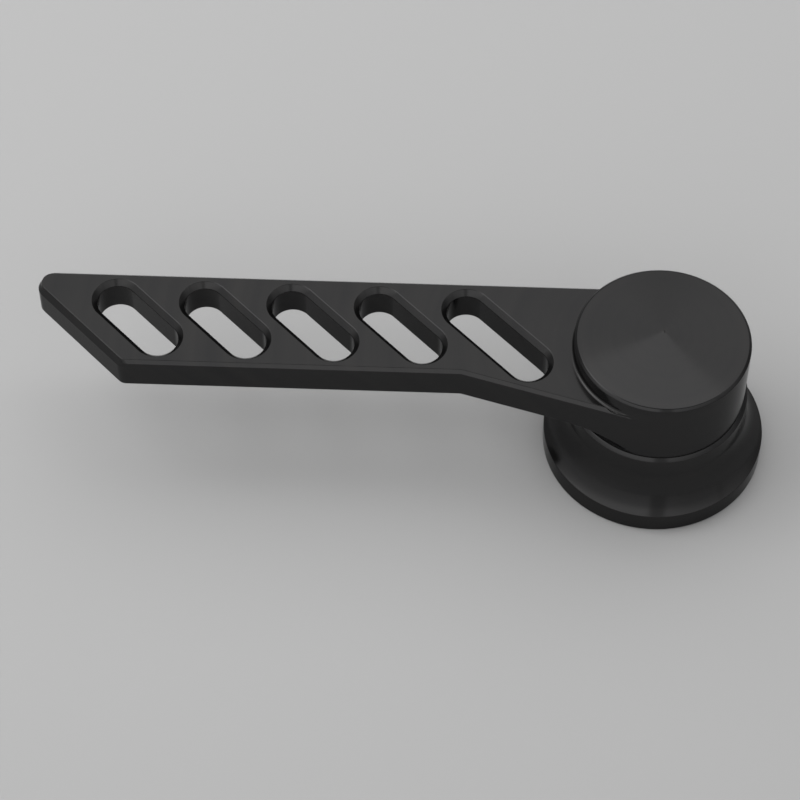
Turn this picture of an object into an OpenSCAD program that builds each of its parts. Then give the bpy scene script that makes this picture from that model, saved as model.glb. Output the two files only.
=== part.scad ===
// Inside lever handle for a door, turned and milled from aluminium and anodised black.
// Slotted arm and round hub are one piece, which turns on a flared base.
// The origin is on the turning axis where the base meets the door; the arm points to -X.

/* [Head and hub] */
// Diameter of the head and of the hub under the arm
head_d = 31.75; // [30:0.25:34]
// Height of the head's rim above the arm
head_proud = 3.5; // [2.5:0.1:6]
// Rise of the turned cone from the head's rim to its point
crown_rise = 2.4; // [0.5:0.1:4]
// Rounding of the head's rim
rim_round = 0.65; // [0.2:0.05:1]
// Height of the hub below the arm
hub_drop = 4.2; // [2:0.1:8]
// Radius of the hollow blend between the head and the arm's top
head_fillet = 0.6; // [0.4:0.1:2.5]
// Radius of the hollow blend between the hub and the arm's underside
hub_fillet = 4; // [1:0.1:4]

/* [Arm] */
// Thickness of the arm
arm_t = 6.8; // [5:0.1:8]
// Width between the arm's two long edges
arm_w = 20.15; // [18:0.05:22]
// Distance from the turning axis to the arm's far edge
arm_far = 13.95; // [12:0.05:14.5]
// Distance from the turning axis to the near corner of the tip
arm_reach = 97.2; // [94:0.1:140]
// Angle of the tip and of the slots to the arm's edges
slant = 45; // [40:1:55]
// Angle at which the near edge widens to the hub
taper = 16; // [14:1:20]
// Rounding of the tip's sharp far corner
far_round = 2.6; // [1.5:0.1:4]
// Rounding of the tip's blunt near corner
near_round = 2; // [1.5:0.1:4]
// Chamfer along the arm's upper edges
arm_chamfer = 0.65; // [0.2:0.05:1]
// Fine chamfer along the arm's lower edges
arm_break = 0.2; // [0.1:0.05:0.6]
// Width of the steep bevel along the slanting tip
tip_bevel = 0.7; // [0.4:0.1:1.2]
// Depth of the bevel along the slanting tip
tip_bevel_depth = 1.6; // [0.8:0.1:3]

/* [Slots] */
// Number of slots
slot_count = 5; // [1:1:5]
// Distance between slots along the arm
slot_pitch = 15.9; // [14:0.05:16]
// Width of a slot
slot_w = 7.3; // [4:0.1:8]
// Width of the chamfer round a slot's upper rim
slot_chamfer = 1; // [0.2:0.1:1.2]
// Depth of the chamfer round a slot's upper rim
slot_chamfer_depth = 1; // [0.3:0.1:1.2]
// Fine chamfer round a slot's lower rim
slot_break = 0.3; // [0.1:0.1:0.6]
// Metal left between the tip and the first slot
land_tip = 5.15; // [3:0.05:8]
// Metal left between the slots and the far edge
land_far = 2.4; // [1.8:0.1:4]
// Metal left between the slots and the near edge
land_near = 2.4; // [1.8:0.1:4]

/* [Base] */
// Diameter of the base at the door
base_d = 40.6; // [38:0.1:44]
// Height of the base
base_h = 17; // [15:0.1:20]
// Height of the base's upright rim
rim_h = 4.35; // [3:0.05:6]
// Diameter of the base's neck
neck_d = 33.4; // [32.8:0.1:35]
// Height from the top of the base down to the flare
neck_h = 4.5; // [1.5:0.1:5.5]
// Rounding of the neck's upper edge, which shows round the hub as a narrow ledge
neck_round = 0.8; // [0.4:0.1:1]
// Rounding of the base's edge at the door
foot_round = 0.45; // [0.2:0.05:1]
// Wall of the base at its rim
base_wall = 2.9; // [2:0.1:4]
// Clearance between the washers and the wall of the recess, on the radius
recess_clear = 0.45; // [0.3:0.05:0.6]
// Depth of the straight part of the recess under the base
recess_h = 3.5; // [2:0.1:4]
// Thickness of the web that carries the pivot
web_t = 5.5; // [4:0.1:6]

/* [Pivot] */
// Diameter of the lever's spigot
spigot_d = 20; // [18:0.1:21]
// Height of the spigot's end above the door
spigot_end = 6; // [4:0.1:6.8]
// Wall of the pivot bush
bush_wall = 1.5; // [1:0.1:2]
// Width of the bush's flange beyond its sleeve
flange_w = 3; // [2:0.1:3.2]
// Thickness of the bush's flange
flange_t = 1.2; // [0.8:0.1:2]
// Height by which the flange keeps the hub clear of the base
bush_proud = 0.1; // [0.05:0.01:0.3]
// Running clearance between the spigot and its bush, on the radius
running = 0.06; // [0.02:0.01:0.1]
// Clearance of pressed and seated pieces, on the radius
seating = 0.02; // [0:0.01:0.04]

/* [Retaining stack] */
// Thickness of the retaining ring
ring_t = 1.2; // [1:0.1:1.5]
// Width of the ring's groove
groove_w = 1.3; // [1.2:0.05:1.6]
// Depth of the ring's groove
groove_depth = 0.5; // [0.3:0.05:0.8]
// Radial width of the ring opposite its gap
ring_band = 2.6; // [2:0.1:2.8]
// Gap between the ring's ends
ring_gap = 3; // [2:0.1:5]
// Diameter of the plier holes in the ring's ears
ear_hole_d = 2; // [1.5:0.1:2.2]
// Thickness of the flat washer
washer_t = 1; // [0.8:0.1:1.2]
// Width of the flat washer and of the spring washer
washer_band = 3; // [2:0.1:3.2]
// Clearance of the washers round the spigot, on the radius
washer_clear = 0.15; // [0.1:0.05:0.4]
// Sheet thickness of the spring washer
wave_t = 0.3; // [0.2:0.05:0.4]
// Height of the spring washer under load
wave_h = 1.2; // [0.8:0.1:1.4]
// Waves round the spring washer
wave_count = 3; // [3:1:5]

/* [Spindle socket] */
// Diameter of the steel insert
insert_d = 15; // [14:0.1:15.4]
// Metal of the insert above its hole for the set screw
insert_cover = 1.4; // [1:0.1:2]
// Largest diameter of the serrated bore
spline_d = 10.4; // [9:0.1:10.6]
// Depth of the serrations
spline_depth = 0.55; // [0.3:0.05:0.8]
// Number of serrations
spline_teeth = 24; // [18:1:36]
// Diameter of the plain lead-in at the insert's mouth
pilot_d = 10.8; // [10.6:0.1:11.4]
// Length of the plain lead-in
pilot_l = 3; // [2:0.1:4]

/* [Set screw] */
// Thread diameter of the set screw
screw_d = 5; // [4:0.5:6]
// Length of the set screw
screw_l = 8; // [6:0.5:9]
// Width across the flats of the screw's hexagon socket
key_w = 2.5; // [2:0.1:3]
// Depth of the hexagon socket
key_depth = 3; // [2:0.1:3.5]
// Height of the screw above the hub's lower face
screw_rise = 5; // [3.5:0.1:6]

/* [Hidden] */
$fn = 96;
cut = 1;          // by how much a cutting shape passes the face that it opens
bed = 0.4;        // by how much a blend reaches into the metal that carries it
hub_foot = 0.2;   // least height of the hub left straight below its blend
steps = 96;       // stretches round the spring washer

black = [0.075, 0.075, 0.08];
nylon = [0.88, 0.87, 0.82];
steel = [0.62, 0.63, 0.65];
spring_steel = [0.30, 0.30, 0.32];

// Heights above the door
hub_z = base_h + bush_proud;
arm_z = hub_z + hub_drop;
arm_top = arm_z + arm_t;
rim_z = arm_top + head_proud;
web_z = base_h - web_t;
washer_z = web_z - wave_h;
ring_z = washer_z - washer_t - ring_t;
groove_z = ring_z - (groove_w - ring_t);
screw_z = hub_z + screw_rise;
insert_top = screw_z + screw_d / 2 + insert_cover;
insert_l = insert_top - spigot_end;

// Radii
head_r = head_d / 2;
base_r = base_d / 2;
neck_r = neck_d / 2;
spigot_r = spigot_d / 2;
bush_r = spigot_r + running + bush_wall;
flange_r = bush_r + flange_w;
washer_r = spigot_r + washer_clear;
groove_r = spigot_r - groove_depth;
insert_r = insert_d / 2;
spline_r = spline_d / 2;
pilot_r = pilot_d / 2;
screw_r = screw_d / 2;
head_blend_r = min(head_fillet, head_proud - rim_round);
hub_blend_r = min(hub_fillet, hub_drop - hub_foot);

// Flare of the base: an arc that leaves the neck upright and ends at the rim's upper edge
flare_top = base_h - neck_h;
flare_rise = flare_top - rim_h;
flare_out = base_r - neck_r;
flare_r = (flare_rise * flare_rise + flare_out * flare_out) / (2 * flare_out);

// Plan of the arm: the near edge runs straight to the bend, then along a line that touches the hub
arm_near = arm_far - arm_w;
taper_out = [-sin(taper), -cos(taper)];
taper_along = [-cos(taper), sin(taper)];
tip_out = [-sin(slant), -cos(slant)];
tip_reach = tip_out * [-arm_reach, arm_near];

// A tip corner's centre, inset by the corner's radius from a long edge and from the slanting tip
function tip_corner(r, y) = [-(tip_reach - r + cos(slant) * y) / sin(slant), y];

// Slots: each one starts below the far edge and ends short of whichever near edge it meets
slot_r = slot_w / 2;
slot_along = [cos(slant), -sin(slant)];
slot_y = arm_far - land_far - slot_r;
slot_x = -(tip_reach - land_tip - slot_r + cos(slant) * slot_y) / sin(slant);
function slot_start(i) = [slot_x + i * slot_pitch, slot_y];
function run_to_near(p) = (p.y - arm_near - land_near - slot_r) / sin(slant);
function run_to_taper(p) = (head_r - land_near - slot_r - taper_out * p) / (taper_out * slot_along);
function slot_run(i) = max(run_to_near(slot_start(i)), run_to_taper(slot_start(i)));

// Disc with both edges chamfered, as thick as the arm
module arm_disc(r) {
    c = arm_chamfer;
    b = arm_break;
    translate([0, 0, arm_z]) cylinder(h = b, r1 = r - b, r2 = r, $fn = 32);
    translate([0, 0, arm_top - c]) cylinder(h = c, r1 = r, r2 = r - c, $fn = 32);
}

// Straight arm with its slanting tip; the inner end lies within the hub
module straight_arm() {
    end_r = 2;
    hull() {
        translate(tip_corner(far_round, arm_far - far_round)) arm_disc(far_round);
        translate(tip_corner(near_round, arm_near + near_round)) arm_disc(near_round);
        translate([0, arm_far - end_r]) arm_disc(end_r);
        translate([0, arm_near + end_r]) arm_disc(end_r);
    }
}

// Wedge of waste that leaves the steep bevel along the slanting tip
module tip_waste() {
    slope = tip_bevel / tip_bevel_depth;
    length = 2 * arm_w;
    translate([-arm_reach, arm_near]) rotate([0, 0, 180 - slant]) translate([-length / 4, 0, 0])
        rotate([90, 0, 90]) linear_extrude(length) polygon([
            [-tip_bevel - slope * cut, arm_top + cut],
            [-tip_bevel, arm_top],
            [0, arm_top - tip_bevel_depth],
            [cut, arm_top - tip_bevel_depth],
            [cut, arm_top + cut]
        ]);
}

// Wedge that widens the arm from the bend to the hub's side
module widening() {
    end_r = 2;
    touch = (head_r - end_r) * taper_out;
    run = (arm_near + 2 * end_r - touch.y) / taper_along.y;
    hull() {
        translate(touch) arm_disc(end_r);
        translate(touch + run * taper_along) arm_disc(end_r);
        arm_disc(end_r);
    }
}

// Hollow blend that rises from the plane Z = 0 up the turned wall, trimmed flush with the arm's sides
module blend(r) {
    side = head_r + r + cut;
    intersection() {
        rotate_extrude() difference() {
            translate([head_r - bed, -bed]) square(r + bed);
            translate([head_r + r, r]) circle(r);
        }
        translate([0, 0, -bed]) linear_extrude(r + bed) polygon([
            [-side, arm_far],
            [0, arm_far],
            head_r * taper_out,
            head_r * taper_out + side * taper_along
        ]);
    }
}

// Head, hub and spigot, turned in one piece
module turned_hub() {
    rotate_extrude() difference() {
        union() {
            translate([0, hub_z]) square([head_r - rim_round, rim_z - hub_z]);
            translate([0, hub_z]) square([head_r, rim_z - rim_round - hub_z]);
            translate([head_r - rim_round, rim_z - rim_round]) circle(rim_round);
            polygon([[0, rim_z - cut], [head_r - rim_round, rim_z - cut], [head_r - rim_round, rim_z],
                     [0, rim_z + crown_rise]]);
            translate([0, spigot_end]) square([spigot_r, hub_z - spigot_end + cut]);
        }
        translate([groove_r, groove_z]) square([groove_depth + cut, groove_w]);
    }
}

// One slot, laid along X from its first end's centre; both rims are chamfered
module slot_cutter(run) {
    top = slot_chamfer_depth;
    low = slot_break;
    top_r = slot_r + slot_chamfer * (top + cut) / top;
    low_r = slot_r + low + cut;
    for (x = [0, run]) translate([x, 0, 0]) {
        translate([0, 0, arm_z - cut]) cylinder(h = arm_t + 2 * cut, r = slot_r);
        translate([0, 0, arm_top - top]) cylinder(h = top + cut, r1 = slot_r, r2 = top_r);
        translate([0, 0, arm_z - cut]) cylinder(h = low + cut, r1 = low_r, r2 = slot_r);
    }
    rotate([90, 0, 90]) linear_extrude(run) polygon([
        [-low_r, arm_z - cut],
        [low_r, arm_z - cut],
        [slot_r, arm_z + low],
        [slot_r, arm_top - top],
        [top_r, arm_top + cut],
        [-top_r, arm_top + cut],
        [-slot_r, arm_top - top],
        [-slot_r, arm_z + low]
    ]);
}

// Blind bore for the insert, with the drill's point above it
module insert_bore() {
    point_h = 1.5;
    translate([0, 0, spigot_end - cut]) cylinder(h = insert_l + cut, r = insert_r + seating);
    translate([0, 0, insert_top]) cylinder(h = point_h, r1 = insert_r - 2, r2 = 0.5);
}

// Tapped hole for the set screw, on the side away from the arm's near edge
module screw_hole(r, from, to) {
    translate([0, from, screw_z]) rotate([-90, 0, 0]) cylinder(h = to - from, r = r);
}

module lever() {
    mouth = 0.5;
    color(black) difference() {
        union() {
            turned_hub();
            straight_arm();
            widening();
            translate([0, 0, arm_top]) blend(head_blend_r);
            translate([0, 0, arm_z]) mirror([0, 0, 1]) blend(hub_blend_r);
        }
        tip_waste();
        for (i = [0 : slot_count - 1])
            translate(slot_start(i)) rotate([0, 0, -slant]) slot_cutter(slot_run(i));
        insert_bore();
        screw_hole(screw_r + seating, insert_r - cut, head_r + cut);
        translate([0, head_r - mouth, screw_z]) rotate([-90, 0, 0])
            cylinder(h = mouth + cut, r1 = screw_r, r2 = screw_r + mouth + cut);
    }
}

// Flared base: outside turned to a rounded neck, a flare and a rim, underside hollow
module flared_base() {
    recess_r = base_r - base_wall;
    inner_r = washer_r + washer_band + recess_clear;
    color(black) rotate_extrude() difference() {
        union() {
            translate([0, foot_round]) square([base_r, rim_h - foot_round]);
            square([base_r - foot_round, rim_h]);
            translate([base_r - foot_round, foot_round]) circle(foot_round);
            square([neck_r, base_h - neck_round]);
            square([neck_r - neck_round, base_h]);
            translate([neck_r - neck_round, base_h - neck_round]) circle(neck_round);
            difference() {
                translate([neck_r - bed, rim_h - bed]) square([flare_out + bed, flare_rise + bed]);
                translate([neck_r + flare_r, flare_top]) circle(flare_r, $fn = 360);
            }
        }
        translate([-cut, -cut]) square([recess_r + cut, recess_h + cut]);
        polygon([[0, 0], [recess_r, recess_h], [inner_r, web_z], [0, web_z]]);
        translate([-cut, -cut]) square([bush_r + seating + cut, base_h + 2 * cut]);
        translate([-cut, base_h + bush_proud - flange_t]) square([flange_r + seating + cut, flange_t + cut]);
    }
}

// Flanged plastic bush: the sleeve guides the spigot and the flange carries the hub
module pivot_bush() {
    color(nylon) rotate_extrude() difference() {
        union() {
            translate([0, web_z]) square([bush_r, hub_z - web_z]);
            translate([0, hub_z - flange_t]) square([flange_r, flange_t]);
        }
        translate([-cut, web_z - cut]) square([spigot_r + running + cut, hub_z - web_z + 2 * cut]);
    }
}

// Spring washer: a flat strip that waves up and down round the spigot
module wave_washer() {
    mid = washer_z + wave_h / 2;
    swing = (wave_h - wave_t) / 2;
    section = [[washer_r, -1], [washer_r + washer_band, -1], [washer_r + washer_band, 1], [washer_r, 1]];
    function wave_point(i, s) = let (a = 360 * i / steps)
        [s[0] * cos(a), s[0] * sin(a), mid + swing * cos(wave_count * a) + s[1] * wave_t / 2];
    points = [for (i = [0 : steps - 1]) for (s = section) wave_point(i, s)];
    faces = [for (i = [0 : steps - 1]) for (k = [0 : 3])
        let (j = (i + 1) % steps, m = (k + 1) % 4) [4 * i + k, 4 * i + m, 4 * j + m, 4 * j + k]];
    color(spring_steel) polyhedron(points = points, faces = faces, convexity = 4);
}

module thrust_washer() {
    color(steel) translate([0, 0, washer_z - washer_t]) linear_extrude(washer_t) difference() {
        circle(washer_r + washer_band);
        circle(washer_r);
    }
}

// Retaining ring: thickest opposite its gap, with an eared end on each side of it
module retaining_ring() {
    ear_r = ear_hole_d / 2 + 0.85;
    ear_at = groove_r + ear_r;
    ear_turn = asin((ring_gap / 2 + ear_r) / ear_at);
    thinning = 0.4;
    color(spring_steel) translate([0, 0, ring_z]) linear_extrude(ring_t) difference() {
        union() {
            translate([0, -thinning]) circle(groove_r + ring_band - thinning);
            for (side = [-1, 1]) rotate([0, 0, 90 + side * ear_turn]) translate([ear_at, 0]) circle(ear_r);
        }
        circle(groove_r + seating);
        translate([-ring_gap / 2, 0]) square([ring_gap, spigot_r + 2 * ring_band]);
        for (side = [-1, 1]) rotate([0, 0, 90 + side * ear_turn]) translate([ear_at, 0])
            circle(ear_hole_d / 2);
    }
}

// Steel insert: serrated bore for the door's spindle, plain lead-in at its mouth
module drive_insert() {
    edge = 0.4;
    serrations = [for (i = [0 : 2 * spline_teeth - 1])
        let (r = spline_r - (i % 2) * spline_depth, a = 180 * i / spline_teeth) [r * cos(a), r * sin(a)]];
    color(steel) difference() {
        translate([0, 0, spigot_end]) rotate_extrude() polygon([
            [0, 0],
            [insert_r - edge, 0],
            [insert_r, edge],
            [insert_r, insert_l - edge],
            [insert_r - edge, insert_l],
            [0, insert_l]
        ]);
        translate([0, 0, spigot_end - cut]) linear_extrude(insert_l + 2 * cut) polygon(serrations);
        translate([0, 0, spigot_end - cut]) cylinder(h = pilot_l + cut, r = pilot_r);
        screw_hole(screw_r + seating, 0, insert_r + cut);
    }
}

// Set screw with a cup point, driven in until it reaches the serrated bore
module set_screw() {
    edge = 0.5;
    cup_r = screw_r - 1;
    tip_y = spline_r;
    color(spring_steel) translate([0, tip_y, screw_z]) rotate([-90, 0, 0]) difference() {
        rotate_extrude() polygon([
            [0, 0],
            [screw_r - 2 * edge, 0],
            [screw_r, 2 * edge],
            [screw_r, screw_l - edge],
            [screw_r - edge, screw_l],
            [0, screw_l]
        ]);
        translate([0, 0, -cut]) cylinder(h = cut + 0.5, r1 = cup_r, r2 = cup_r / 2);
        translate([0, 0, screw_l - key_depth]) cylinder(h = key_depth + cut, r = key_w / sqrt(3), $fn = 6);
    }
}

lever();
flared_base();
pivot_bush();
wave_washer();
thrust_washer();
retaining_ring();
drive_insert();
set_screw();
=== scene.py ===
# %% [markdown]
# # A slotted lever handle for a door
#
# The real handle is two pieces of black anodised aluminium. The lever, with its slotted arm and
# round head, is milled and turned from one bar. It turns on a flared base that is fixed to the
# door. Inside, a plastic bush, two washers, a ring, a steel insert and a set screw do the work.
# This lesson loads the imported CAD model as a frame, in metres, and dresses it. The two aluminium
# pieces are built again here with finer curves and softened edges. The small pieces keep their
# CAD shapes and get finishes.

# %% Load the frame
from functools import partial
from math import atan2, cos, pi, radians, sin

import bmesh
import bpy
from mathutils import Matrix, Quaternion, Vector


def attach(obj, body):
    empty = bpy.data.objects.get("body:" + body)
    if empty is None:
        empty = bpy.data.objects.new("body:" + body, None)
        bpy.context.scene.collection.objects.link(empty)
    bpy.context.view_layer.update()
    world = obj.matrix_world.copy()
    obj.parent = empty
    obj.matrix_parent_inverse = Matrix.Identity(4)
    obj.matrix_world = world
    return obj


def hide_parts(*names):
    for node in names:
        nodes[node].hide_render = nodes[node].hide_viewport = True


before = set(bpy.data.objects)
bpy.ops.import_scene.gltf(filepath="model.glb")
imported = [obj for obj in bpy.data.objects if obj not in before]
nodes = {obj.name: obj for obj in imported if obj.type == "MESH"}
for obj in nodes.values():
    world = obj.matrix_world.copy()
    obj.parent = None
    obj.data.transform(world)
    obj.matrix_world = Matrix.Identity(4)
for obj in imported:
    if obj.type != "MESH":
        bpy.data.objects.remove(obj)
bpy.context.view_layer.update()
scene = bpy.context.scene
MM = 0.001
print("CAD nodes:", ", ".join(sorted(nodes)))

# %% [markdown]
# ## Camera
#
# The photograph was taken from about 55 degrees above the table, a little to one side. The
# camera's place, turn and focal length were worked out from the head's and the base's ellipses
# and from the arm's straight edges. A camera could be placed by eye, but then the perspective of
# the long arm would not fit the picture.

# %% Set the camera
PHOTO_WIDTH = 800
FOCAL_PIXELS = 3014.41
SENSOR = 36
look_at = Vector((-47.30, 7.186, 0)) * MM
elevation, azimuth, roll = radians(54.719), radians(-1.914), radians(0.184)
distance = 569.56 * MM
towards_camera = Vector((-sin(azimuth) * cos(elevation), -cos(azimuth) * cos(elevation),
                         sin(elevation)))

camera_data = bpy.data.cameras.new("camera")
camera = bpy.data.objects.new("camera", camera_data)
scene.collection.objects.link(camera)
camera.location = look_at + towards_camera * distance
camera.rotation_mode = "QUATERNION"
camera.rotation_quaternion = ((-towards_camera).to_track_quat("-Z", "Y")
                              @ Quaternion((0, 0, 1), roll))
camera_data.sensor_width = SENSOR
camera_data.lens = FOCAL_PIXELS / PHOTO_WIDTH * SENSOR
camera_data.clip_start = 0.01
scene.camera = camera
scene.view_settings.view_transform = "Standard"
print("camera lens", round(camera_data.lens, 1), "mm, at", [round(v, 3) for v in camera.location])

# %% [markdown]
# ## Sizes
#
# The aluminium pieces get the sizes of the CAD model. Only the head's rim and the base's neck
# differ from it, by less than a quarter of a millimetre, where the photograph shows a narrow
# chamfer. The sizes are written here once, in millimetres, and every helper below works in
# millimetres. A mesh is scaled to metres at the end.

# %% Heights, from the table up
base_h = 17
hub_gap, hub_h, arm_h, head_proud = 0.1, 4.2, 6.8, 3.5
hub_z = base_h + hub_gap
arm_z = hub_z + hub_h
arm_top = arm_z + arm_h
rim_z = arm_top + head_proud
spigot_end = 6
print("arm from", round(arm_z, 2), "to", round(arm_top, 2), "mm, head's rim at", round(rim_z, 2))

# %% Sizes of the head and the arm
head_r = 31.75 / 2
spigot_r = 10
rim_chamfer, rim_soft = 0.47, 0.12
crown_rise = 2.4
head_fillet, hub_fillet = 0.6, 4
arm_far, arm_width, arm_reach = 13.95, 20.15, 97.2
arm_near = arm_far - arm_width
slant, taper = radians(45), radians(16)
far_round, near_round = 2.6, 2
arm_chamfer, arm_break = 0.65, 0.2
tip_bevel, tip_bevel_depth = 0.7, 1.6
print("arm", arm_width, "mm wide, its near corner", arm_reach, "mm from the axis")

# %% [markdown]
# ## Softened edges
#
# No machined edge is perfectly sharp: deburring and anodising round it by about a tenth of a
# millimetre, and that round is what catches the light as a thin line. A Bevel modifier could add
# it at the end, but it stumbles over the thin faces that booleans leave. So each outline gets its
# rounds before it becomes a mesh.

# %% Round the corners of an outline
EDGE = 0.09
NEARLY_STRAIGHT = radians(165)
MOST_OF_A_SIDE = 0.45


def arc(cx, cy, r, start, end, steps):
    """Points of an arc in the outline's plane; angles in degrees."""
    return [(cx + r * cos(radians(start + (end - start) * i / steps)),
             cy + r * sin(radians(start + (end - start) * i / steps))) for i in range(steps + 1)]


def softened(points, cut=EDGE, steps=4):
    """Round the inner corners of an open chain of points; a nearly straight corner stays."""
    chain = [Vector(p) for p in points]
    rounded = [chain[0]]
    for before, tip, after in zip(chain, chain[1:], chain[2:]):
        back, on = before - tip, after - tip
        if back.angle(on) > NEARLY_STRAIGHT:
            rounded.append(tip)
            continue
        reach = min(cut, back.length * MOST_OF_A_SIDE, on.length * MOST_OF_A_SIDE)
        start, end = tip + back.normalized() * reach, tip + on.normalized() * reach
        for k in range(steps + 1):
            u = k / steps
            rounded.append(start.lerp(tip, u).lerp(tip.lerp(end, u), u))
    return rounded + [chain[-1]]


# %% [markdown]
# ## Turning
#
# Head, hub, spigot and base were turned on a lathe: one outline, spun round the axis. Blender
# could do it with its Screw modifier or the Spin tool. Here a short function places the rings
# itself, because then the seam is closed from the start, the points on the axis are single, and
# the faces point outwards.

# %% A lathe
TURNS = 256
ON_AXIS = 1e-6
SAME_POINT = 1e-5


def turned(bm, outline, turns=TURNS):
    """Spin a closed outline of (radius, height) points, given anticlockwise, round the Z axis."""
    rings = []
    for r, z in outline:
        if r < ON_AXIS:
            rings.append([bm.verts.new((0, 0, z))])
        else:
            angles = [2 * pi * k / turns for k in range(turns)]
            rings.append([bm.verts.new((r * cos(a), r * sin(a), z)) for a in angles])
    for lower, upper in zip(rings, rings[1:] + rings[:1]):
        if len(lower) == 1 and len(upper) == 1:
            continue
        for k in range(turns):
            m = (k + 1) % turns
            if len(lower) == 1:
                bm.faces.new((lower[0], upper[m], upper[k]))
            elif len(upper) == 1:
                bm.faces.new((lower[k], lower[m], upper[0]))
            else:
                bm.faces.new((lower[k], lower[m], upper[m], upper[k]))


def new_piece(name, bm, scale=MM):
    """Close a bmesh into an object at the origin, with its normals outwards."""
    bmesh.ops.remove_doubles(bm, verts=bm.verts, dist=SAME_POINT)
    bmesh.ops.recalc_face_normals(bm, faces=bm.faces)
    bmesh.ops.scale(bm, vec=(scale, scale, scale), verts=bm.verts)
    mesh = bpy.data.meshes.new(name)
    bm.to_mesh(mesh)
    bm.free()
    piece = bpy.data.objects.new(name, mesh)
    scene.collection.objects.link(piece)
    print(name, len(mesh.vertices), "points,", len(mesh.polygons), "faces")
    return piece


# %% [markdown]
# ## The lever's turned core
#
# The head has a shallow cone with the turning tool's small mark at its centre, and a narrow
# chamfer round its rim. Below the arm a hub stands on the base. The spigot goes down through the
# bush and has a groove for its retaining ring. The outline follows the metal from the bore's
# mouth round the outside to the top, and down again to the end of the bore.

# %% Outline of spigot and hub
insert_r, insert_top = 7.52, 26
groove_depth, groove_low, groove_high = 0.5, 8.0, 9.3
groove_r = spigot_r - groove_depth
HUB_EDGE = 0.04

spigot_outline = [(insert_r, spigot_end), (spigot_r, spigot_end), (spigot_r, groove_low),
                  (groove_r, groove_low), (groove_r, groove_high), (spigot_r, groove_high),
                  (spigot_r, hub_z), (head_r, hub_z), (head_r, arm_top)]
core_outline = softened(spigot_outline[:-1])[:-1]
core_outline += softened(spigot_outline[-3:], cut=HUB_EDGE)[1:]
print("spigot", 2 * spigot_r, "mm across, its groove", 2 * groove_r, "mm")

# %% Outline of the head, and the core
apex_z = rim_z + crown_rise
crown_slope = crown_rise / (head_r - rim_chamfer)
mark_r, mark_depth = 0.45, 0.05
drill_rise, drill_flat, insert_seat = 1.5, 0.5, 2

core_outline += softened([(head_r, arm_top), (head_r, rim_z - rim_chamfer),
                          (head_r - rim_chamfer, rim_z), (mark_r, apex_z - mark_r * crown_slope)],
                         cut=rim_soft, steps=6)[1:]
# The mark is a small dish with a rise left in its middle, in shares of its radius and depth.
core_outline += [(mark_r * 0.6, apex_z - mark_depth - mark_r * crown_slope),
                 (mark_r * 0.25, apex_z - mark_depth * 0.6), (0, apex_z - mark_depth * 0.4)]
core_outline += [(0, insert_top + drill_rise), (drill_flat, insert_top + drill_rise),
                 (insert_r - insert_seat, insert_top), (insert_r, insert_top)]

core_mesh = bmesh.new()
turned(core_mesh, core_outline)
core = new_piece("lever_core", core_mesh, scale=1)

# %% [markdown]
# ## The arm's plate
#
# The arm is a flat bar with one slanting end and an edge that widens to the hub. Its upper edges
# have a small chamfer, its slanting end a steeper bevel, and its lower edges are only broken. A
# plan like this could be drawn as a curve and extruded. It is built here as stacked outlines
# instead, because then every chamfer is a real one with softened corners: each outline is the
# same plan, drawn in from the edges by its own amount.

# %% Plan of the arm, drawn in by any amount
tip_out = Vector((-sin(slant), -cos(slant)))
taper_out = Vector((-sin(taper), -cos(taper)))
taper_along = Vector((-cos(taper), sin(taper)))
tip_reach = tip_out.dot(Vector((-arm_reach, arm_near)))
inside_hub = Vector((0, -8))


def corner(centre, r, start, end, steps=16):
    return [Vector(p) for p in arc(centre.x, centre.y, r, start, end, steps)]


def arm_plan(inset, tip_inset):
    """The arm's outline, anticlockwise, drawn in along its edges and its tip."""
    def tip_centre(r, y):
        return Vector((-(tip_reach - tip_inset - r + cos(slant) * y) / sin(slant), y))
    far_r, near_r = far_round - inset, near_round - inset
    near_y = arm_near + inset
    edge = head_r - inset
    bend = Vector((-(edge + cos(taper) * near_y) / sin(taper), near_y))
    plan = [Vector((0, arm_far - inset))]
    plan += corner(tip_centre(far_r, arm_far - far_round), far_r, 90, 225)
    plan += corner(tip_centre(near_r, arm_near + near_round), near_r, 225, 270)
    plan += [bend, edge * taper_out, inside_hub]
    return plan


print("the plan has", len(arm_plan(0, 0)), "points, its tip", round(tip_reach, 2), "mm out")

# %% Profiles of the edges, and the plate
LEAD = 1  # a short run beyond a profile's ends, or a cutter's margin


def edge_profile(width, depth):
    """(inset, height) from the lower to the upper face: a broken lower edge, a bevel at the top."""
    return softened([(arm_break + LEAD, arm_z), (arm_break, arm_z), (0, arm_z + arm_break),
                     (0, arm_top - depth), (width, arm_top), (width + LEAD, arm_top)])[1:-1]


def inset_at(profile, z):
    for (inset, low), (next_inset, high) in zip(profile, profile[1:]):
        if z <= high:
            return inset + (next_inset - inset) * (z - low) / (high - low)
    return profile[-1][0]


def stacked(bm, levels):
    """Join plans of the same number of points, given as (plan, height) from below, to a solid."""
    loops = [[bm.verts.new((p.x, p.y, z)) for p in plan] for plan, z in levels]
    count = len(loops[0])
    for low, high in zip(loops, loops[1:]):
        for k in range(count):
            m = (k + 1) % count
            bm.faces.new((low[k], low[m], high[m], high[k]))
    bm.faces.new(list(reversed(loops[0])))
    bm.faces.new(loops[-1])


side_profile = edge_profile(arm_chamfer, arm_chamfer)
tip_profile = edge_profile(tip_bevel, tip_bevel_depth)
heights = sorted({round(z, 5) for _, z in side_profile + tip_profile})
arm_mesh = bmesh.new()
stacked(arm_mesh, [(arm_plan(inset_at(side_profile, z), inset_at(tip_profile, z)), z)
                   for z in heights])
arm = new_piece("arm_plate", arm_mesh, scale=1)

# %% [markdown]
# ## Hollow blends between arm and hub
#
# The end mill left a small hollow round the foot of the head and a larger one under the arm. Each
# is a ring with a hollow side, and a block with the arm's plan trims it flush with the arm's
# edges.

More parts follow.
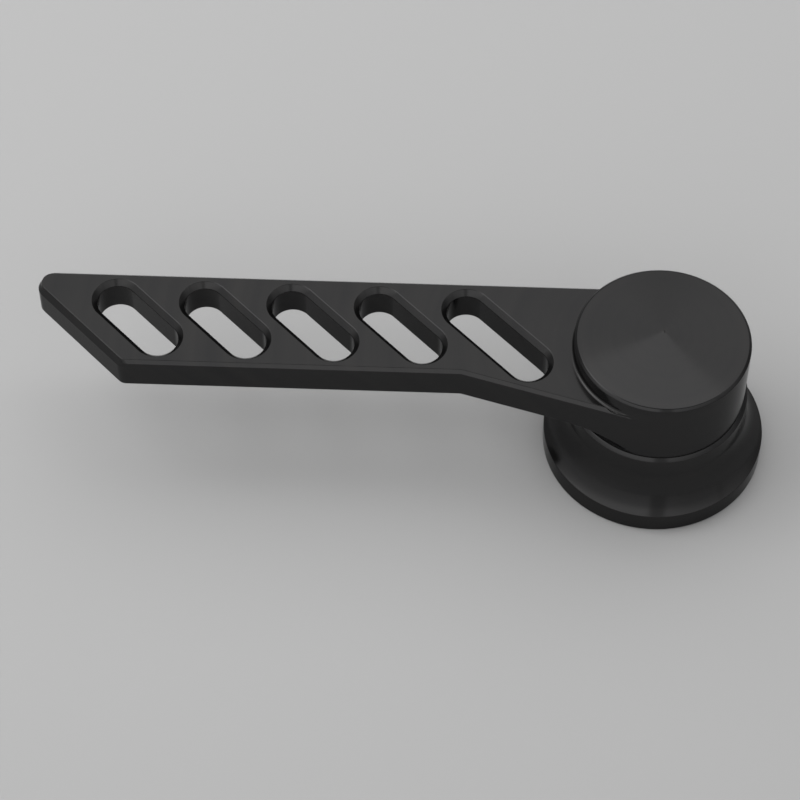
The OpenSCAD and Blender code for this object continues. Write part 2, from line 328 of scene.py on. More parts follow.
# %% Blend rings, trimmed to the arm's plan
BED = 0.4  # how far a ring reaches into the metal that it joins
TRIM_REACH = 6


def boolean(target, other, operation):
    """Join, cut or intersect two closed meshes; the second one is used up."""
    modifier = target.modifiers.new("boolean", "BOOLEAN")
    modifier.operation = operation
    modifier.solver = "EXACT"
    modifier.object = other
    evaluated = target.evaluated_get(bpy.context.evaluated_depsgraph_get())
    result = bpy.data.meshes.new_from_object(evaluated)
    target.modifiers.remove(modifier)
    old = target.data
    target.data = result
    bpy.data.meshes.remove(old)
    bpy.data.objects.remove(other)


def blend_ring(r, z, up):
    """Ring that fills the corner between the plane at height z and the turned wall, up or down."""
    outline = [(head_r - BED, z - up * BED), (head_r + r, z - up * BED), (head_r + r, z)]
    outline += [(x, z + up * y) for x, y in arc(head_r + r, r, r, 270, 180, steps=16)][1:]
    outline += [(head_r - BED, z + up * r)]
    if up < 0:
        outline.reverse()
    ring_mesh = bmesh.new()
    turned(ring_mesh, outline)
    ring = new_piece("blend_ring", ring_mesh, scale=1)
    side = head_r + r + LEAD
    trim_plan = [Vector((-side, arm_far)), head_r * taper_out + side * taper_along,
                 head_r * taper_out, Vector((0, arm_far))]
    trim_mesh = bmesh.new()
    stacked(trim_mesh, [(trim_plan, z - TRIM_REACH), (trim_plan, z + TRIM_REACH)])
    trim = new_piece("blend_trim", trim_mesh, scale=1)
    boolean(ring, trim, "INTERSECT")
    return ring


boolean(core, arm, "UNION")
boolean(core, blend_ring(head_fillet, arm_top, 1), "UNION")
boolean(core, blend_ring(hub_fillet, arm_z, -1), "UNION")
print("lever before slots:", len(core.data.polygons), "faces")

# %% [markdown]
# ## Slots
#
# Five slots lighten the arm. All slant at the tip's angle and start below the far edge, and each
# one runs until it is as far from the near edge as the others: the last one, where the arm
# widens, runs longer. That is a rule, so a Geometry Nodes tree makes the cutters. It takes the
# cutter's profile from a small mesh, stands one round cutter on each point of a row, and slides
# the far half of each along the slot. All five are then cut from the arm in one boolean.

# %% Small helpers for node trees
NODE_STEP = (180, -220)
NODES_IN_A_ROW = 12


def node(tree, kind, inputs=None, **settings):
    """Add a node; each input is a value or another node's output, by name or number."""
    new = tree.nodes.new(kind)
    line, column = divmod(len(tree.nodes), NODES_IN_A_ROW)
    new.location = (NODE_STEP[0] * column, NODE_STEP[1] * line)
    for name, value in settings.items():
        setattr(new, name, value)
    for key, value in (inputs or {}).items():
        if isinstance(value, bpy.types.NodeSocket):
            tree.links.new(value, new.inputs[key])
        else:
            new.inputs[key].default_value = value
    return new


def calc(tree, operation, a, b=0.0, c=0.0):
    """One step of arithmetic between values or sockets."""
    return node(tree, "ShaderNodeMath", {0: a, 1: b, 2: c}, operation=operation).outputs[0]


def group_socket(tree, name, way, kind, value=None):
    socket = tree.interface.new_socket(name=name, in_out=way, socket_type="NodeSocket" + kind)
    if value is not None:
        socket.default_value = value
    return socket


# %% Sizes of the slots and profile of their cutter
slot_count, slot_pitch, slot_w = 5, 15.9, 7.3
slot_chamfer, slot_chamfer_depth, slot_break = 1.0, 1.0, 0.3
land_tip, land_far, land_near = 5.15, 2.4, 2.4
slot_r = slot_w / 2
slot_y = arm_far - land_far - slot_r
slot_x = -(tip_reach - land_tip - slot_r + cos(slant) * slot_y) / sin(slant)
CLEAR = 0.002

cutter_profile = softened([
    (slot_r + slot_break + LEAD, arm_z), (slot_r + slot_break, arm_z), (slot_r, arm_z + slot_break),
    (slot_r, arm_top - slot_chamfer_depth), (slot_r + slot_chamfer, arm_top),
    (slot_r + slot_chamfer + LEAD, arm_top),
])[1:-1]
low_r, high_r = cutter_profile[0][0], cutter_profile[-1][0]
cutter_profile = [(low_r, arm_z - LEAD), (low_r, arm_z - CLEAR)] + cutter_profile[1:-1]
cutter_profile += [(high_r, arm_top + CLEAR), (high_r, arm_top + LEAD)]

profile_mesh = bmesh.new()
profile_points = [profile_mesh.verts.new((r, 0, z)) for r, z in cutter_profile]
for first, second in zip(profile_points, profile_points[1:]):
    profile_mesh.edges.new((first, second))
slot_profile = new_piece("slot_profile", profile_mesh, scale=1)

# %% The tree's inputs
slot_tree = bpy.data.node_groups.new("slot_cutters", "GeometryNodeTree")
slot_tree.is_modifier = True
slot_node, slot_calc = partial(node, slot_tree), partial(calc, slot_tree)
slot_sizes = {
    "Profile": ("Object", slot_profile),
    "Count": ("Int", slot_count),
    "Pitch": ("Float", slot_pitch),
    "First X": ("Float", slot_x),
    "Row Y": ("Float", slot_y),
    "Slot radius": ("Float", slot_r),
    "Slant": ("Float", slant),
    "Taper": ("Float", taper),
    "Hub radius": ("Float", head_r),
    "Near edge": ("Float", arm_near),
    "Land": ("Float", land_near),
    "Finish": ("Material", None),
}
slot_inputs = {name: group_socket(slot_tree, name, "INPUT", kind)
               for name, (kind, _) in slot_sizes.items()}
group_socket(slot_tree, "Geometry", "OUTPUT", "Geometry")
size = slot_node("NodeGroupInput").outputs
print("the slot tree has", len(slot_inputs), "inputs")

# %% One round cutter, from the profile
ROUND_POINTS = 96
UNIT = 1.0


def position():
    return slot_node("GeometryNodeInputPosition").outputs[0]


profile = slot_node("GeometryNodeObjectInfo", {"Object": size["Profile"]}).outputs["Geometry"]
rings = slot_node("GeometryNodeAttributeDomainSize", {0: profile},
                  component="MESH").outputs["Point Count"]
blank = slot_node("GeometryNodeMeshCylinder",
                  {"Vertices": ROUND_POINTS, "Side Segments": slot_calc("SUBTRACT", rings, 1),
                   "Radius": UNIT, "Depth": UNIT})
half_step = slot_node("GeometryNodeTransform", {0: blank.outputs["Mesh"],
                                                "Rotation": (0, 0, pi / ROUND_POINTS)}).outputs[0]
place = slot_node("ShaderNodeSeparateXYZ", {0: position()})
level = slot_calc("ROUND", slot_calc("MULTIPLY", slot_calc("ADD", place.outputs[2], UNIT / 2),
                                     slot_calc("SUBTRACT", rings, 1)))
ring_point = slot_node("GeometryNodeSampleIndex", {0: profile, "Value": position(), "Index": level},
                       data_type="FLOAT_VECTOR")
ring = slot_node("ShaderNodeSeparateXYZ", {0: ring_point.outputs[0]})
shaped = slot_node("ShaderNodeCombineXYZ",
                   {0: slot_calc("MULTIPLY", place.outputs[0], ring.outputs[0]),
                    1: slot_calc("MULTIPLY", place.outputs[1], ring.outputs[0]),
                    2: ring.outputs[2]})
round_cutter = slot_node("GeometryNodeSetPosition", {0: half_step, "Position": shaped.outputs[0]})
sided = slot_node("GeometryNodeStoreNamedAttribute",
                  {0: round_cutter.outputs[0], "Name": "far_half",
                   "Value": slot_calc("GREATER_THAN", place.outputs[0], 0.0)}, data_type="FLOAT")
print("round cutter has", ROUND_POINTS, "points on each of", len(cutter_profile), "rings")

# %% The row of cutters, and how far each slot runs
row_start = slot_node("ShaderNodeCombineXYZ", {0: size["First X"], 1: size["Row Y"]})
row_step = slot_node("ShaderNodeCombineXYZ", {0: size["Pitch"]})
row = slot_node("GeometryNodeMeshLine", {"Count": size["Count"], "Offset": row_step.outputs[0],
                                         "Start Location": row_start.outputs[0]})
start = slot_node("ShaderNodeSeparateXYZ", {0: position()})
margin = slot_calc("ADD", size["Land"], size["Slot radius"])
sin_slant, sin_taper = slot_calc("SINE", size["Slant"]), slot_calc("SINE", size["Taper"])
above_near = slot_calc("SUBTRACT", start.outputs[1], slot_calc("ADD", size["Near edge"], margin))
to_near = slot_calc("DIVIDE", above_near, sin_slant)
cos_taper = slot_calc("COSINE", size["Taper"])
along_taper = slot_calc("ADD", slot_calc("MULTIPLY", sin_taper, start.outputs[0]),
                        slot_calc("MULTIPLY", cos_taper, start.outputs[1]))
above_taper = slot_calc("ADD", slot_calc("SUBTRACT", size["Hub radius"], margin), along_taper)
meeting = slot_calc("SINE", slot_calc("SUBTRACT", size["Slant"], size["Taper"]))
to_taper = slot_calc("DIVIDE", above_taper, meeting)
measured = slot_node("GeometryNodeStoreNamedAttribute",
                     {0: row.outputs["Mesh"], "Name": "slot_run",
                      "Value": slot_calc("MAXIMUM", to_near, to_taper)}, data_type="FLOAT")

# %% Stand a cutter on each point, and slide its far half along the slot
turn = slot_node("ShaderNodeCombineXYZ", {2: slot_calc("MULTIPLY", size["Slant"], -1.0)})
standing = slot_node("GeometryNodeInstanceOnPoints",
                     {"Points": measured.outputs[0], "Instance": sided.outputs[0],
                      "Rotation": turn.outputs[0]})
realized = slot_node("GeometryNodeRealizeInstances", {0: standing.outputs[0]}).outputs[0]


def stored(name):
    return slot_node("GeometryNodeInputNamedAttribute", {"Name": name},
                     data_type="FLOAT").outputs[0]


slide = slot_calc("MULTIPLY", stored("slot_run"), stored("far_half"))
slide_x = slot_calc("MULTIPLY", slide, slot_calc("COSINE", size["Slant"]))
slide_y = slot_calc("MULTIPLY", slide, slot_calc("MULTIPLY", sin_slant, -1.0))
offset = slot_node("ShaderNodeCombineXYZ", {0: slide_x, 1: slide_y})
stretched = slot_node("GeometryNodeSetPosition", {0: realized, "Offset": offset.outputs[0]})
finished = slot_node("GeometryNodeSetMaterial",
                     {0: stretched.outputs[0], "Material": size["Finish"]})
slot_node("NodeGroupOutput", {0: finished.outputs[0]})
print("the slot tree has", len(slot_tree.nodes), "nodes")

# %% Make the cutters and cut the slots
cutters = bpy.data.objects.new("slot_cutters", bpy.data.meshes.new("slot_cutters"))
scene.collection.objects.link(cutters)
row_modifier = cutters.modifiers.new("row", "NODES")
row_modifier.node_group = slot_tree
for name, (_, value) in slot_sizes.items():
    if value is not None:
        row_modifier[slot_inputs[name].identifier] = value
evaluated_cutters = cutters.evaluated_get(bpy.context.evaluated_depsgraph_get())
cutters_mesh = bpy.data.meshes.new_from_object(evaluated_cutters)
cutters.modifiers.remove(row_modifier)
cutters.data = cutters_mesh
print("slot cutters:", len(cutters_mesh.vertices), "points,", len(cutters_mesh.polygons), "faces")
boolean(core, cutters, "DIFFERENCE")
bpy.data.objects.remove(slot_profile)
print("lever with slots:", len(core.data.polygons), "faces")

# %% [markdown]
# ## Hole for the set screw
#
# On the side away from the camera a tapped hole goes through the hub to the steel insert. A short
# cutter, turned like the rest and laid on its side, makes the hole and the small countersink at
# its mouth. The screw fills the hole, so its thread is left out.

# %% Cut the screw hole
screw_rise, screw_hole_r, screw_mouth, hole_overlap = 5, 2.52, 0.5, 1.5
screw_z = hub_z + screw_rise
hole_outline = [(0, insert_r - hole_overlap), (screw_hole_r, insert_r - hole_overlap),
                (screw_hole_r, head_r - screw_mouth),
                (screw_hole_r + screw_mouth + LEAD, head_r + LEAD), (0, head_r + LEAD)]
hole_mesh = bmesh.new()
turned(hole_mesh, hole_outline, turns=ROUND_POINTS)
hole = new_piece("screw_hole", hole_mesh, scale=1)
hole.data.transform(Matrix.Translation((0, 0, screw_z)) @ Matrix.Rotation(radians(-90), 4, "X"))
boolean(core, hole, "DIFFERENCE")

# %% [markdown]
# ## Smooth shading
#
# A curved wall is made of flat strips, and smooth shading blends them. Next to a small round,
# plain smooth shading would also bend the light on the big flat faces. The Weighted Normal
# modifier stops that, because at each point the largest face decides.

# %% Finish a mesh: smooth, with true flats
def smooth(piece, crease=40):
    for polygon in piece.data.polygons:
        polygon.use_smooth = True
    piece.data.set_sharp_from_angle(angle=radians(crease))
    weights = piece.modifiers.new("true_flats", "WEIGHTED_NORMAL")
    weights.keep_sharp = True
    evaluated = piece.evaluated_get(bpy.context.evaluated_depsgraph_get())
    result = bpy.data.meshes.new_from_object(evaluated)
    piece.modifiers.remove(weights)
    old = piece.data
    piece.data = result
    bpy.data.meshes.remove(old)


lever = core
lever.data.transform(Matrix.Scale(MM, 4))
lever.name = lever.data.name = "lever_black"
smooth(lever)
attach(lever, "lever")
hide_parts("lever")
print("lever:", len(lever.data.vertices), "points,", len(lever.data.polygons), "faces")

# %% [markdown]
# ## The base
#
# The base was turned from bar: a neck with a bright chamfer right under the hub, a hollow flare,
# an upright rim and an open underside, with a stepped bore for the bush. The flare is one arc
# that leaves the neck upright, so its radius follows from how far it falls and spreads.

# %% Turn the base
base_r, neck_r = 40.6 / 2, 33.0 / 2
rim_h, neck_h, neck_chamfer, foot_round = 4.35, 4.5, 0.62, 0.45
web_depth, rim_wall, recess_h, inner_r = 5.5, 2.9, 3.5, 13.6
bush_seat_r, flange_seat_r, flange_seat_z = 11.58, 14.58, 15.9
web_z = base_h - web_depth
recess_r = base_r - rim_wall
flare_top = base_h - neck_h
flare_rise = flare_top - rim_h
flare_out = base_r - neck_r
flare_r = (flare_rise ** 2 + flare_out ** 2) / (2 * flare_out)
flare_end = atan2(rim_h - flare_top, neck_r + flare_out - (neck_r + flare_r))
FLARE_STEPS = 40

flare_angles = [flare_end + (-pi - flare_end) * k / FLARE_STEPS for k in range(FLARE_STEPS + 1)]
flare = [(neck_r + flare_r + flare_r * cos(a), flare_top + flare_r * sin(a)) for a in flare_angles]
base_outline = arc(base_r - foot_round, foot_round, foot_round, -90, 0, steps=10)
base_outline += softened([(base_r, rim_h - LEAD)] + flare + [(neck_r, flare_top + LEAD)])
base_outline += softened([(neck_r, flare_top + LEAD), (neck_r, base_h - neck_chamfer),
                          (neck_r - neck_chamfer, base_h), (flange_seat_r, base_h),
                          (flange_seat_r, flange_seat_z), (bush_seat_r, flange_seat_z),
                          (bush_seat_r, web_z), (inner_r, web_z), (recess_r, recess_h),
                          (recess_r, 0), (recess_r + LEAD, 0)])
base_mesh = bmesh.new()
turned(base_mesh, base_outline)
base = new_piece("base_black", base_mesh)
smooth(base)
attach(base, "base")
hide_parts("flared_base")

# %% [markdown]
# ## Which way the tool went
#
# A lathe leaves fine grooves round the axis, and they stretch a reflection outwards from it: that
# gives the head its fan of light. The shader needs the direction in which the light stretches. It
# could come from a tangent round the object's middle, but the lever's middle isn't its axis. So a
# UV map carries it: U runs outwards or upwards along the turned surface, and V goes round it. On
# the milled arm U runs along the arm.

# %% A UV map for the tool's direction, and one finish for each kind of surface
TOOL_MAP = "tool_direction"
UV_MM = 100
NEAR_AXIS = 1e-3
WALL_MARGIN = 0.02


def along_tool(piece, is_turned):
    """Write the UV map; faces for which is_turned says yes get finish 0, the others finish 1."""
    mesh = piece.data
    layer = mesh.uv_layers.new(name=TOOL_MAP)
    counts = [0, 0]
    for face in mesh.polygons:
        turned_face = is_turned(face.center / MM)
        face.material_index = 0 if turned_face else 1
        counts[face.material_index] += 1
        middle = atan2(face.center.y, face.center.x)
        for corner_index in face.loop_indices:
            point = mesh.vertices[mesh.loops[corner_index].vertex_index].co / MM
            if turned_face:
                radius = point.xy.length
                angle = atan2(point.y, point.x) if radius > NEAR_AXIS else middle
                angle += 2 * pi * round((middle - angle) / (2 * pi))
                uv = ((radius - point.z) / UV_MM, angle / (2 * pi))
            else:
                uv = ((point.x - point.z) / UV_MM, (point.y + point.z) / UV_MM)
            layer.data[corner_index].uv = uv
    print(piece.name, "has", counts[0], "turned faces and", counts[1], "milled faces")


along_tool(lever, lambda middle: middle.xy.length < head_r + WALL_MARGIN)
along_tool(base, lambda middle: True)

# %% [markdown]
# ## Shader groups
#
# Three effects come back in more than one finish, so each is a node group with named inputs.
# Turning marks are fine irregular rings. Grain is the bloom of blasted and anodised metal, and
# the mottle of plating and plastic. Wear finds the outer edges, where hands polish the colour
# thin. Each group gives only values.

# %% Group: turning marks
BAND_SCALE = 0.06  # broad bands change this much more slowly than the rings
GROOVE_SHARE = 0.25


def shader_group(name, inputs, outputs):
    tree = bpy.data.node_groups.new(name, "ShaderNodeTree")
    for socket_name, value in inputs.items():
        group_socket(tree, socket_name, "INPUT", "Float", value)
    for socket_name in outputs:
        group_socket(tree, socket_name, "OUTPUT", "Float")
    print("group", name, "takes", ", ".join(inputs), "and gives", ", ".join(outputs))
    return tree, node(tree, "NodeGroupInput").outputs, partial(calc, tree)


turning, socket, step = shader_group("turning_marks", {"Feed": 0.00022, "Drift": 0.5},
                                     ["Height", "Tone"])
point = node(turning, "ShaderNodeTexCoord").outputs["Object"]
xyz = node(turning, "ShaderNodeSeparateXYZ", {0: point}).outputs
radius = step("SQRT", step("ADD", step("MULTIPLY", xyz[0], xyz[0]),
                           step("MULTIPLY", xyz[1], xyz[1])))
path = step("DIVIDE", step("SUBTRACT", radius, xyz[2]), socket["Feed"])
rings_noise = node(turning, "ShaderNodeTexNoise", {"W": path, "Scale": 1.0, "Detail": 2.0},
                   noise_dimensions="1D")
bands = node(turning, "ShaderNodeTexNoise",
             {"W": step("MULTIPLY", path, BAND_SCALE), "Scale": 1.0, "Detail": 3.0},
             noise_dimensions="1D")
drift = step("MULTIPLY", rings_noise.outputs[0], socket["Drift"])
groove = step("SINE", step("MULTIPLY_ADD", path, 2 * pi, drift))
height = step("MULTIPLY_ADD", groove, GROOVE_SHARE, rings_noise.outputs[0])
node(turning, "NodeGroupOutput", {"Height": height, "Tone": bands.outputs[0]})

# %% Group: grain
PIT_SPACING, PIT_DEPTH = 0.7, 0.5

grain, socket, step = shader_group("grain", {"Size": 0.0002, "Mottle size": 0.012},
                                   ["Height", "Tone", "Mottle"])
point = node(grain, "ShaderNodeTexCoord").outputs["Object"]
fine = node(grain, "ShaderNodeTexNoise",
            {"Vector": point, "Scale": step("DIVIDE", 1.0, socket["Size"]),
             "Detail": 3.0, "Roughness": 0.6})
pits = node(grain, "ShaderNodeTexVoronoi",
            {"Vector": point, "Scale": step("DIVIDE", PIT_SPACING, socket["Size"])})
mottle = node(grain, "ShaderNodeTexNoise",
              {"Vector": point, "Scale": step("DIVIDE", 1.0, socket["Mottle size"]),
               "Detail": 4.0, "Roughness": 0.55})
height = step("MULTIPLY_ADD", pits.outputs["Distance"], PIT_DEPTH, fine.outputs[0])
node(grain, "NodeGroupOutput", {"Height": height, "Tone": fine.outputs[0],
                                "Mottle": mottle.outputs[0]})

# %% Group: wear on outer edges
wear, socket, step = shader_group("edge_wear", {"Width": 0.00025, "Patches": 0.006}, ["Wear"])
point = node(wear, "ShaderNodeTexCoord").outputs["Object"]
rounded_normal = node(wear, "ShaderNodeBevel", {"Radius": socket["Width"]}, samples=6).outputs[0]
true_normal = node(wear, "ShaderNodeNewGeometry").outputs["Normal"]
agreement = node(wear, "ShaderNodeVectorMath", {0: rounded_normal, 1: true_normal},
                 operation="DOT_PRODUCT")
bend = node(wear, "ShaderNodeMapRange",
            {"Value": agreement.outputs["Value"], "From Min": 0.995, "From Max": 0.93})
patches = node(wear, "ShaderNodeTexNoise",
               {"Vector": point, "Scale": step("DIVIDE", 1.0, socket["Patches"]),
                "Detail": 5.0, "Roughness": 0.65})
rubbed = node(wear, "ShaderNodeMapRange",
              {"Value": patches.outputs[0], "From Min": 0.35, "From Max": 0.7,
               "To Min": 0.25, "To Max": 1.0})
node(wear, "NodeGroupOutput", {"Wear": step("MULTIPLY", bend.outputs[0], rubbed.outputs[0])})

# %% [markdown]
# ## Finishes
#
# All finishes are mixed the same way: a colour that wanders between two tones, a little of a worn
# colour on the edges, a roughness that wanders with grain and handling, and a bump of a few
# thousandths of a millimetre. One function builds the nodes, and each finish gives its own
# values. Numbers that are the same all over a surface go straight on the shader.

# %% Two colours, mixed
def blend_colour(tree, factor, first, second):
    """Mix two colours, each a value or a socket; 6 and 7 are the Mix node's colour inputs."""
    mix = node(tree, "ShaderNodeMix", {"Factor": factor}, data_type="RGBA")
    for index, colour in ((6, first), (7, second)):
        if isinstance(colour, bpy.types.NodeSocket):
            tree.links.new(colour, mix.inputs[index])
        else:
            mix.inputs[index].default_value = (*colour, 1)
    return mix.outputs[2]


# %% Tone and height of a surface
GRAIN_TONE, MOTTLE_TONE, MARKS_TONE = 0.35, 0.65, 0.5


def tone_and_height(tree, grain_size, grain_bump, feed, ring_bump):
    """What wanders over a surface: grain and mottle and, where a feed is given, turning marks."""
    step = partial(calc, tree)
    speckle = node(tree, "ShaderNodeGroup", {"Size": grain_size}, node_tree=grain).outputs
    tone = step("MULTIPLY_ADD", speckle["Tone"], GRAIN_TONE,
                step("MULTIPLY", speckle["Mottle"], MOTTLE_TONE))
    height = step("MULTIPLY", speckle["Height"], grain_bump)
    if feed:
        marks = node(tree, "ShaderNodeGroup", {"Feed": feed}, node_tree=turning).outputs
        tone = step("MULTIPLY_ADD", marks["Tone"], MARKS_TONE,
                    step("MULTIPLY", tone, 1 - MARKS_TONE))
        height = step("MULTIPLY_ADD", marks["Height"], ring_bump, height)
    return tone, height


# %% A finish
BUMP_HEIGHT = 0.000004
TONE_LOW, TONE_HIGH = 0.3, 0.7


def finish(name, dark, light, worn, rough, rough_swing=0.08, rough_worn=-0.08, metal=0.0,
           specular=0.5, glancing=1.0, grain_size=0.0002, grain_bump=1.0, feed=None, ring_bump=1.0,
           stretch=0.0, wear_amount=0.5):
    """Metal or plastic with grain, wandering tone, worn edges and, from a lathe, turning marks."""
    material = bpy.data.materials.new(name)
    material.use_nodes = True
    tree = material.node_tree
    step = partial(calc, tree)
    shader = tree.nodes["Principled BSDF"]
    shader.inputs["Metallic"].default_value = metal
    shader.inputs["Specular IOR Level"].default_value = specular
    shader.inputs["Specular Tint"].default_value = (glancing, glancing, glancing, 1)
    shader.inputs["Anisotropic"].default_value = stretch

    tone, height = tone_and_height(tree, grain_size, grain_bump, feed, ring_bump)
    edges = node(tree, "ShaderNodeGroup", node_tree=wear)
    spread = node(tree, "ShaderNodeMapRange",
                  {"Value": tone, "From Min": TONE_LOW, "From Max": TONE_HIGH}).outputs[0]
    rubbed = step("MULTIPLY", edges.outputs["Wear"], wear_amount)
    colour = blend_colour(tree, rubbed, blend_colour(tree, spread, dark, light), worn)
    tree.links.new(colour, shader.inputs["Base Color"])
    swing = step("MULTIPLY_ADD", step("SUBTRACT", spread, 0.5), rough_swing, rough)
    roughness = step("MULTIPLY_ADD", rubbed, rough_worn, swing)
    tree.links.new(roughness, shader.inputs["Roughness"])
    bump = node(tree, "ShaderNodeBump", {"Strength": 1.0, "Distance": BUMP_HEIGHT,
                                         "Height": height})
    tree.links.new(bump.outputs[0], shader.inputs["Normal"])
    if stretch:
        tangent = node(tree, "ShaderNodeTangent", direction_type="UV_MAP", uv_map=TOOL_MAP)
        tree.links.new(tangent.outputs[0], shader.inputs["Tangent"])
    print("finish", name, "has", len(tree.nodes), "nodes")
    return material


# %% [markdown]
# ## Black anodising
#
# The dyed layer on the aluminium is thin and hard, and the metal shows through it, so the shader
# is mostly metallic with a very dark colour. It could be plain glossy plastic instead, but that
# turns pale at a glancing angle. On metal, Specular Tint sets how bright that glancing reflection
# is, and here it is below white. The milled arm is a touch lighter than the turned head and base.

# %% Black anodised aluminium, turned and milled
BLACK = {"dark": (0.0300, 0.0300, 0.0308), "light": (0.0375, 0.0368, 0.0364),
         "worn": (0.110, 0.107, 0.104), "metal": 0.85, "specular": 0.38, "glancing": 0.6}
MILLED_BLACK = {**BLACK, "dark": (0.0365, 0.0365, 0.0373), "light": (0.0435, 0.0428, 0.0424)}
black_turned = finish("black_turned", **BLACK, rough=0.16, rough_swing=0.04, feed=0.00022,
                      ring_bump=0.3, grain_bump=0.1, stretch=0.5, grain_size=0.00018)
black_milled = finish("black_milled", **MILLED_BLACK, rough=0.18, rough_swing=0.04,
                      grain_bump=0.25, grain_size=0.00022)
for piece in (lever, base):
    piece.data.materials.clear()
    piece.data.materials.append(black_turned)
    piece.data.materials.append(black_milled)

# %% [markdown]
# ## Finishes inside
#
# Seen from below, the handle shows its works: a bush of white acetal, a wavy washer of spring
# steel, a plated thrust washer, a dark phosphated retaining ring, a machined steel insert with a
# serrated bore, and on the far side a black set screw. Their CAD shapes are right, so each only
# gets its own finish.

# %% Plastic and steel
acetal = finish("white_acetal", (0.62, 0.60, 0.54), (0.72, 0.70, 0.64), (0.78, 0.77, 0.73),
                rough=0.42, grain_bump=0.6, feed=0.0004, ring_bump=0.5, wear_amount=0.3)
spring_steel = finish("washer_spring_steel", (0.30, 0.29, 0.28), (0.42, 0.41, 0.40),
                      (0.55, 0.54, 0.53), rough=0.34, metal=1.0, grain_bump=0.8,
                      grain_size=0.00015)
plated_steel = finish("washer_plating", (0.50, 0.52, 0.54), (0.64, 0.65, 0.66),
                      (0.72, 0.72, 0.71), rough=0.26, metal=1.0, grain_bump=0.4, feed=0.0003,
                      ring_bump=0.4)
insert_steel = finish("insert_machined_steel", (0.42, 0.42, 0.43), (0.55, 0.55, 0.56),
                      (0.66, 0.66, 0.66), rough=0.30, metal=1.0, grain_bump=0.4, feed=0.0002,
                      ring_bump=0.7)
screw_black = finish("blackened_steel", (0.035, 0.036, 0.040), (0.055, 0.056, 0.060),
                     (0.25, 0.25, 0.25), rough=0.38, metal=0.6, grain_bump=0.6, wear_amount=0.8)
ring_black = finish("phosphated_steel", (0.050, 0.050, 0.052), (0.085, 0.084, 0.084),
                    (0.25, 0.25, 0.25), rough=0.45, metal=0.7, grain_bump=1.0,
                    grain_size=0.00012)
inner_finishes = {
    "pivot_bush": acetal,
    "wave_washer": spring_steel,
    "thrust_washer": plated_steel,
    "retaining_ring": ring_black,
    "drive_insert": insert_steel,
    "set_screw": screw_black,
}
for name, material in inner_finishes.items():
    for material_slot in nodes[name].material_slots:
        material_slot.material = material
print("finished inside:", ", ".join(inner_finishes))

# %% [markdown]
# ## Floor and light
#
# The handle stands on a plain pale table. The light is a plain studio one. A dim even room and a
# white tent round the front come from the world: glossy black shows little but reflections, and
# in front it needs one soft band that grows brighter upwards, with two gaps between its panels.
# Area lamps could make the tent too, but each would show as a separate rectangle. A large soft
# box behind the handle lights its top, and smaller ones stand above and to the left.

# %% Floor
FLOOR_REACH = 1.5
TABLE_GREY = 0.48
floor_mesh = bmesh.new()
bmesh.ops.create_grid(floor_mesh, x_segments=1, y_segments=1, size=FLOOR_REACH)
floor = new_piece("floor", floor_mesh, scale=1)
table = bpy.data.materials.new("pale_table")
table.use_nodes = True
table_shader = table.node_tree.nodes["Principled BSDF"]
table_shader.inputs["Base Color"].default_value = (TABLE_GREY, TABLE_GREY, TABLE_GREY, 1)
table_shader.inputs["Roughness"].default_value = 0.7
table_shader.inputs["Specular IOR Level"].default_value = 0.1
floor.data.materials.append(table)

# %% A gap between two panels of the tent
GAP_CORE, GAP_SHADE = 0.7, 1.3  # where a gap's soft side starts and ends, in half widths


def tent_gap():
    """Group: how much of the tent's light is left in one direction, beside one upright gap."""
    tree, socket, step = shader_group(
        "tent_gap", {"X": 0.0, "Y": 0.0, "Azimuth": 0.0, "Half width": 0.1, "Depth": 0.5}, ["Left"])
    cosine, sine = step("COSINE", socket["Azimuth"]), step("SINE", socket["Azimuth"])
    ahead = step("ADD", step("MULTIPLY", socket["X"], cosine), step("MULTIPLY", socket["Y"], sine))
    aside = step("SUBTRACT", step("MULTIPLY", socket["Y"], cosine),
                 step("MULTIPLY", socket["X"], sine))
    offset_angle = step("ABSOLUTE", step("ARCTAN2", aside, ahead))
    edge = node(tree, "ShaderNodeMapRange",
                {"Value": offset_angle, "To Min": 1.0, "To Max": 0.0,
                 "From Min": step("MULTIPLY", socket["Half width"], GAP_CORE),
                 "From Max": step("MULTIPLY", socket["Half width"], GAP_SHADE)},
                interpolation_type="SMOOTHSTEP")
    shade = step("MULTIPLY", edge.outputs[0], socket["Depth"])
    node(tree, "NodeGroupOutput", {"Left": step("SUBTRACT", 1.0, shade)})
    return tree


# %% The tent, brighter towards its upper edge
ROOM_LEVEL = 0.30
TENT_HEIGHTS = [(0.0, 0.60), (0.26, 0.75), (0.42, 0.95), (0.55, 1.5), (0.68, 1.5),
                (0.78, ROOM_LEVEL)]
BEHIND, FRONT = 0.35, -0.10
LEFT, RIGHT, WEAKER_RIGHT = -0.1, 0.6, 0.6
GAPS = [(277, 7.0, 0.7), (335, 2.5, 0.35)]  # azimuth and half width in degrees, depth

world = bpy.data.worlds.new("studio")
scene.world = world
world.use_nodes = True
sky = world.node_tree
look = node(sky, "ShaderNodeSeparateXYZ",
            {0: node(sky, "ShaderNodeTexCoord").outputs["Generated"]}).outputs
rise = node(sky, "ShaderNodeValToRGB", {0: look[2]})
stops = rise.color_ramp.elements
for index, (height_sine, level) in enumerate(TENT_HEIGHTS):
    stop = stops[index] if index < 2 else stops.new(height_sine)
    stop.position = height_sine
    stop.color = (level, level, level, 1)
in_front = node(sky, "ShaderNodeMapRange",
                {"Value": look[1], "From Min": BEHIND, "From Max": FRONT},
                interpolation_type="SMOOTHSTEP").outputs[0]
right_side = node(sky, "ShaderNodeMapRange",
                  {"Value": look[0], "From Min": LEFT, "From Max": RIGHT,
                   "To Min": 1.0, "To Max": WEAKER_RIGHT},
                  interpolation_type="SMOOTHSTEP").outputs[0]
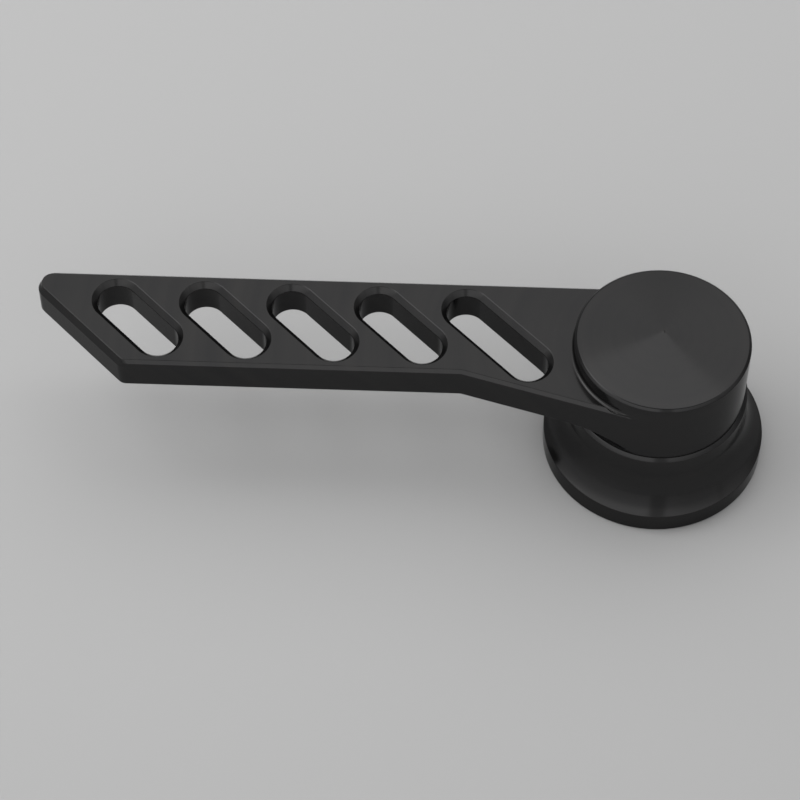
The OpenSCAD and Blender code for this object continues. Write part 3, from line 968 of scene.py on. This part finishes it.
tent = calc(sky, "MULTIPLY", calc(sky, "SUBTRACT", rise.outputs[0], ROOM_LEVEL), right_side)
gap_group = tent_gap()
for gap_azimuth, half_width, depth in GAPS:
    gap = node(sky, "ShaderNodeGroup",
               {"X": look[0], "Y": look[1], "Azimuth": radians(gap_azimuth),
                "Half width": radians(half_width), "Depth": depth}, node_tree=gap_group)
    tent = calc(sky, "MULTIPLY", tent, gap.outputs[0])
light_level = calc(sky, "MULTIPLY_ADD", tent, in_front, ROOM_LEVEL)
sky_light = sky.nodes["Background"]
sky.links.new(light_level, sky_light.inputs["Color"])
sky_light.inputs["Strength"].default_value = 1.0
print("tent:", len(TENT_HEIGHTS), "levels and", len(GAPS), "gaps")

# %% Soft boxes
LIT_POINT = Vector((-0.045, 0, 0.02))


def direction(azimuth, elevation):
    """Unit vector; azimuth in degrees from +X towards +Y, elevation in degrees from the table."""
    bearing, height_angle = radians(azimuth), radians(elevation)
    return Vector((cos(bearing) * cos(height_angle), sin(bearing) * cos(height_angle),
                   sin(height_angle)))


def soft_box(name, azimuth, elevation, distance, size, watts, along=None):
    """A rectangular lamp that faces the handle; its width is level, or laid along a line."""
    data = bpy.data.lights.new(name, "AREA")
    data.shape = "RECTANGLE"
    data.size, data.size_y = size
    data.energy = watts
    lamp = bpy.data.objects.new(name, data)
    scene.collection.objects.link(lamp)
    place = LIT_POINT + direction(azimuth, elevation) * distance
    back = (place - LIT_POINT).normalized()
    across = Vector((0, 0, 1)).cross(back) if along is None else along
    across = (across - back * across.dot(back)).normalized()
    facing = Matrix((across, back.cross(across), back)).transposed().to_4x4()
    lamp.matrix_world = Matrix.Translation(place) @ facing
    lamp.visible_camera = False


soft_box("back_box", azimuth=97, elevation=58, distance=0.62, size=(1.40, 0.60), watts=2.6)
soft_box("left_box", azimuth=183, elevation=52, distance=0.62, size=(0.42, 0.36), watts=0.9)
soft_box("top_box", azimuth=112, elevation=76, distance=0.60, size=(0.69, 0.32), watts=0.33,
         along=direction(55, 65.5) - direction(123, 57.5))
print("three soft boxes stand round", [round(v, 3) for v in LIT_POINT])
